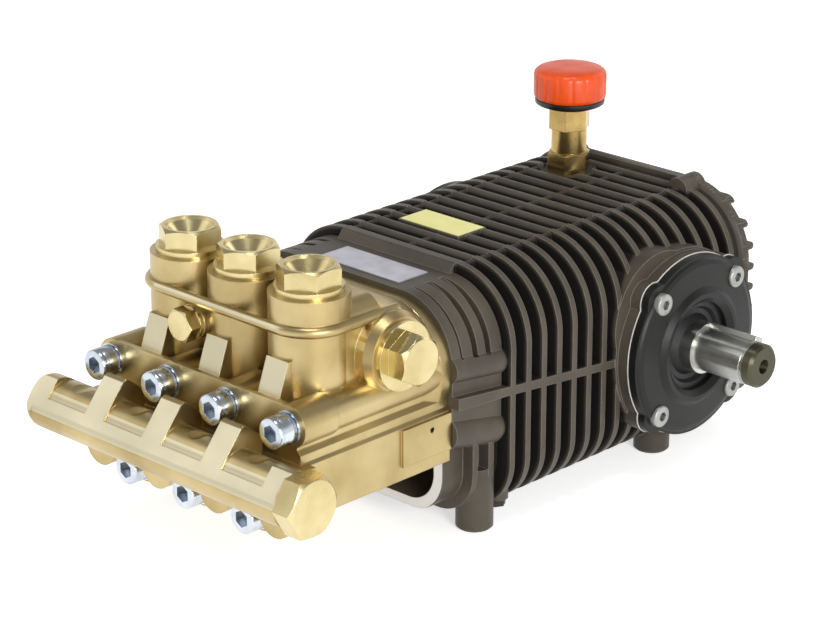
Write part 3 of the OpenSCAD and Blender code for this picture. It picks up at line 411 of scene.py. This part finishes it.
def settle(piece, slot, body, *replaced, turn=(0, 0, 0), place=(0, 0, 0), look=None, angle=35):
    """Turns a piece to its place, fixes that in its mesh, and ties it to its look, body and nodes.

    Edges of less than the angle, in degrees, are shaded smooth.
    """
    only(piece)
    bpy.ops.object.transform_apply(location=True, rotation=True, scale=True)
    piece.rotation_euler = turn
    piece.location = place
    bpy.ops.object.transform_apply(location=True, rotation=True, scale=True)
    piece.data.materials.clear()
    piece.data.materials.append(look or finishes[slot])
    bpy.ops.object.shade_smooth_by_angle(angle=math.radians(angle))
    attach(piece, body)
    if replaced:
        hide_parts(*replaced)


def copy_of(piece, name):
    """A copy with a mesh of its own."""
    twin = piece.copy()
    twin.data = piece.data.copy()
    twin.name = name
    bpy.context.collection.objects.link(twin)
    return twin


def flute(piece, steps, every, low, high, inner, width):
    """Draws in every so many-th row of points on a turned piece's side, which leaves flutes or a knurl.

    low and high are heights and inner is a radius, in millimetres, and width is the share that is left.
    """
    only(piece)
    bpy.ops.object.mode_set(mode="EDIT")
    bpy.ops.mesh.select_mode(type="VERT")
    bpy.ops.mesh.select_all(action="DESELECT")
    bpy.ops.object.mode_set(mode="OBJECT")
    for vertex in piece.data.vertices:
        x, y, z = piece.matrix_world @ vertex.co
        row = round(math.atan2(y, x) / (2 * math.pi / steps)) % every
        vertex.select = row == 0 and low * MM < z < high * MM and math.hypot(x, y) > inner * MM
    bpy.ops.object.mode_set(mode="EDIT")
    bpy.ops.transform.resize(value=(width, width, 1), center_override=(0, 0, 0))
    bpy.ops.object.mode_set(mode="OBJECT")


def head_bolts():
    """Socket head screws of the valve head: chamfered rim, fine groove, knurl, hexagon socket and shank."""
    for node, count in (("upper_bolts", 4), ("lower_bolts", 3)):
        low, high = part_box(node)
        r, length = (high[2] - low[2]) / 2 / MM, (high[1] - low[1]) / MM
        model = turned(node, [
            (0, 0), (r - 1.4, 0), (r - 0.5, -0.3), (r, -1.1),
            (r, -GROOVE_TOP), (r - GROOVE_DEEP, -GROOVE_TOP - 0.3),
            (r - GROOVE_DEEP, -GROOVE_TOP - 0.7), (r, -GROOVE_TOP - 1.0),
            (r, 0.8 - BOLT_HEAD), (r - 0.6, -BOLT_HEAD), (BOLT_SHANK, -BOLT_HEAD),
            (BOLT_SHANK, 1 - length), (BOLT_SHANK - 1, -length), (0, -length)])
        flute(model, TURNED_STEPS, every=2, low=0.5 - BOLT_HEAD, high=-GROOVE_TOP - 0.9,
              inner=r - 0.7, width=0.975)
        cut(model, hexagon(*BOLT_SOCKET))
        for i in range(count):
            x = low[0] + r * MM + i * (high[0] - low[0] - 2 * r * MM) / (count - 1)
            bolt = copy_of(model, f"{node[:-1]}_{i + 1}")
            settle(bolt, "zinc", "pump", node, turn=(math.pi / 2, 0, 0),
                   place=(x, low[1], (low[2] + high[2]) / 2))
        bpy.data.objects.remove(model)


def cover_screws():
    """Flat screws of the bearing covers: a low rounded disc with a hexagon socket."""
    for node, side in (("bearing_cover_screws", 1), ("end_cover_screws", -1)):
        low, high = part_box(node)
        thick = (high[0] - low[0]) / MM - SCREW_DROP
        r = SCREW_RADIUS
        model = turned(node, [
            (0, 0), (r - 2.0, 0), (r - 0.9, -0.2), (r - 0.25, -0.7), (r, -1.4), (r, -thick), (0, -thick)])
        cut(model, hexagon(*SCREW_SOCKET))
        tops = [low[1] + r * MM, high[1] - r * MM]
        heights = [low[2] + r * MM, high[2] - r * MM]
        for i in range(4):
            screw = copy_of(model, f"{node[:-1]}_{i + 1}")
            x = high[0] - SCREW_DROP * MM if side > 0 else low[0] + SCREW_DROP * MM
            settle(screw, "zinc", "pump", node, turn=(0, side * math.pi / 2, 0), look=screw_finish,
                   place=(x, tops[i % 2], heights[i // 2]))
        bpy.data.objects.remove(model)


def filler():
    """Orange-red filler cap with shallow flutes and a domed top, on a black rim that tapers in below."""
    low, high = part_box("filler_cap")
    r, tall = (high[0] - low[0]) / 2 / MM, (high[2] - low[2]) / MM
    centre = ((low[0] + high[0]) / 2, (low[1] + high[1]) / 2)
    cap = turned("filler_cap_fluted", [
        (0, 0), (r - 2.6, 0), (r - 1.2, 0.4), (r - 0.4, 1.4), (r, 3.0), (r, tall - 5.6),
        (r - 0.3, tall - 4.2), (r - 1.1, tall - 2.9), (r - 2.5, tall - 1.8), (r - 4.6, tall - 1.0),
        (r * 0.6, tall - 0.35), (r * 0.3, tall - 0.08), (0, tall)], steps=FILLER_STEPS)
    flute(cap, FILLER_STEPS, every=FILLER_STEPS // CAP_FLUTES, low=0.9, high=tall - 2, inner=r - 3,
          width=0.975)
    settle(cap, "red_plastic", "pump", "filler_cap", place=(*centre, low[2]), angle=25)

    low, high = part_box("filler_rim")
    r, tall = (high[0] - low[0]) / 2 / MM, (high[2] - low[2]) / MM
    rim = turned("filler_rim_tapered", [
        (0, 0), (r - 6.5, 0), (r - 5.6, 0.2), (r - 1.3, tall - 4.1), (r - 0.3, tall - 3.4), (r, tall - 2.8),
        (r, tall), (0, tall)], steps=FILLER_STEPS)
    settle(rim, "black_plastic", "pump", "filler_rim", place=(*centre, low[2]))


def rear_cover():
    """The rear cover's solid, copied and merged, with the slit that runs along one rib closed.

    The slit's walls are deleted, and the two openings that they leave are filled.
    """
    cover = bpy.data.objects.new("rear_cover_closed", frame["nodes"]["rear_cover"].data.copy())
    bpy.context.collection.objects.link(cover)
    only(cover)
    bpy.ops.object.mode_set(mode="EDIT")
    bpy.ops.mesh.select_all(action="SELECT")
    bpy.ops.mesh.remove_doubles(threshold=1e-6)
    bpy.ops.mesh.select_mode(type="FACE")
    bpy.ops.mesh.select_all(action="DESELECT")
    bpy.ops.object.mode_set(mode="OBJECT")
    for face in cover.data.polygons:
        x, _, z = face.center
        inside = abs(x) < SLIT_REACH * MM and SLIT[0] * MM < z < SLIT[1] * MM
        face.select = inside and abs(face.normal.y) < 0.01
    bpy.ops.object.mode_set(mode="EDIT")
    bpy.ops.mesh.delete(type="FACE")
    bpy.ops.mesh.select_all(action="SELECT")
    bpy.ops.mesh.fill_holes(sides=0)
    bpy.ops.mesh.select_all(action="SELECT")
    bpy.ops.mesh.normals_make_consistent(inside=False)
    bpy.ops.object.mode_set(mode="OBJECT")
    settle(cover, "case_paint", "pump", "rear_cover")


head_bolts()
cover_screws()
filler()
rear_cover()


# Stage, light and camera

def backdrop():
    """A matt white floor that takes the shadow, with a glow that only the camera and reflections see."""
    bpy.ops.object.select_all(action="DESELECT")
    bpy.ops.mesh.primitive_plane_add(size=FLOOR_SIZE, location=(0, 0, 0))
    floor = bpy.context.object
    floor.name = "floor"
    material = bpy.data.materials.new("white_floor")
    material.use_nodes = True
    tree = material.node_tree
    tree.nodes.clear()
    matt = add(tree, "ShaderNodeBsdfDiffuse", inputs={"Color": linear("#F6F6F6")})
    glow = add(tree, "ShaderNodeEmission", inputs={"Color": (1, 1, 1, 1), "Strength": FLOOR_GLOW})
    both = add(tree, "ShaderNodeAddShader", inputs={0: matt.outputs[0], 1: glow.outputs[0]})
    path = add(tree, "ShaderNodeLightPath")
    seen = add(tree, "ShaderNodeMath", {"operation": "MAXIMUM"}, {
        0: path.outputs["Is Camera Ray"], 1: path.outputs["Is Glossy Ray"]})
    seen = add(tree, "ShaderNodeMath", {"operation": "MAXIMUM"}, {
        0: seen.outputs[0], 1: path.outputs["Is Transmission Ray"]})
    mix = add(tree, "ShaderNodeMixShader", inputs={
        0: seen.outputs[0], 1: matt.outputs[0], 2: both.outputs[0]})
    add(tree, "ShaderNodeOutputMaterial", inputs={"Surface": mix.outputs[0]})
    floor.data.materials.append(material)


def area_light(name, place, target, size, power):
    """A soft round lamp at a place, turned towards a target and hidden from the camera."""
    lamp = bpy.data.lights.new(name, "AREA")
    lamp.shape = "DISK"
    lamp.size = size
    lamp.energy = power
    obj = bpy.data.objects.new(name, lamp)
    bpy.context.collection.objects.link(obj)
    obj.location = place
    obj.rotation_euler = (Vector(target) - Vector(place)).to_track_quat("-Z", "Y").to_euler()
    obj.visible_camera = False


def camera():
    """The photograph's view."""
    azimuth, elevation = math.radians(VIEW_ROUND), math.radians(VIEW_DOWN)
    back = Vector((math.sin(azimuth) * math.cos(elevation),
                   -math.cos(azimuth) * math.cos(elevation), math.sin(elevation)))
    data = bpy.data.cameras.new("camera")
    data.sensor_width = SENSOR
    data.lens = FOCAL_PIXELS / WIDTH_PIXELS * SENSOR
    obj = bpy.data.objects.new("camera", data)
    bpy.context.collection.objects.link(obj)
    obj.location = Vector(VIEW_TARGET) + VIEW_DISTANCE * back
    obj.rotation_euler = (-back).to_track_quat("-Z", "Y").to_euler()
    bpy.context.scene.camera = obj


def world():
    """A studio with white walls and a grey ceiling, a little dimmer as a light on matt faces."""
    sky = bpy.data.worlds.new("studio")
    sky.use_nodes = True
    tree = sky.node_tree
    tree.nodes.clear()
    way = add(tree, "ShaderNodeSeparateXYZ", inputs={
        "Vector": add(tree, "ShaderNodeTexCoord").outputs["Generated"]})
    wall = add(tree, "ShaderNodeMapRange", {"interpolation_type": "SMOOTHSTEP"}, {
        "Value": way.outputs["Z"], "From Min": WALL_TOP, "From Max": CEILING_EDGE,
        "To Min": 1.0, "To Max": CEILING})
    path = add(tree, "ShaderNodeLightPath")
    level = add(tree, "ShaderNodeMapRange", inputs={
        "Value": path.outputs["Is Diffuse Ray"], "To Min": 1.0, "To Max": WALL_LIGHT})
    strength = add(tree, "ShaderNodeMath", {"operation": "MULTIPLY"}, {
        0: wall.outputs["Result"], 1: level.outputs["Result"]})
    glow = add(tree, "ShaderNodeBackground", inputs={
        "Color": (1, 1, 1, 1), "Strength": strength.outputs[0]})
    add(tree, "ShaderNodeOutputWorld", inputs={"Surface": glow.outputs[0]})
    bpy.context.scene.world = sky


backdrop()
world()
camera()
area_light("front_left", place=(-1.2, -0.9, 1.2), target=(0, -0.1, 0.1), size=1.1, power=3)
area_light("right", place=(1.8, -0.8, 0.7), target=(0, 0, 0.1), size=0.8, power=26)
area_light("back", place=(0.2, 1.4, 1.0), target=(0, 0, 0.1), size=0.8, power=2)
area_light("top", place=(0.15, -0.25, 1.7), target=(0, -0.05, 0.1), size=0.4, power=7)
bpy.context.scene.view_settings.view_transform = "Standard"
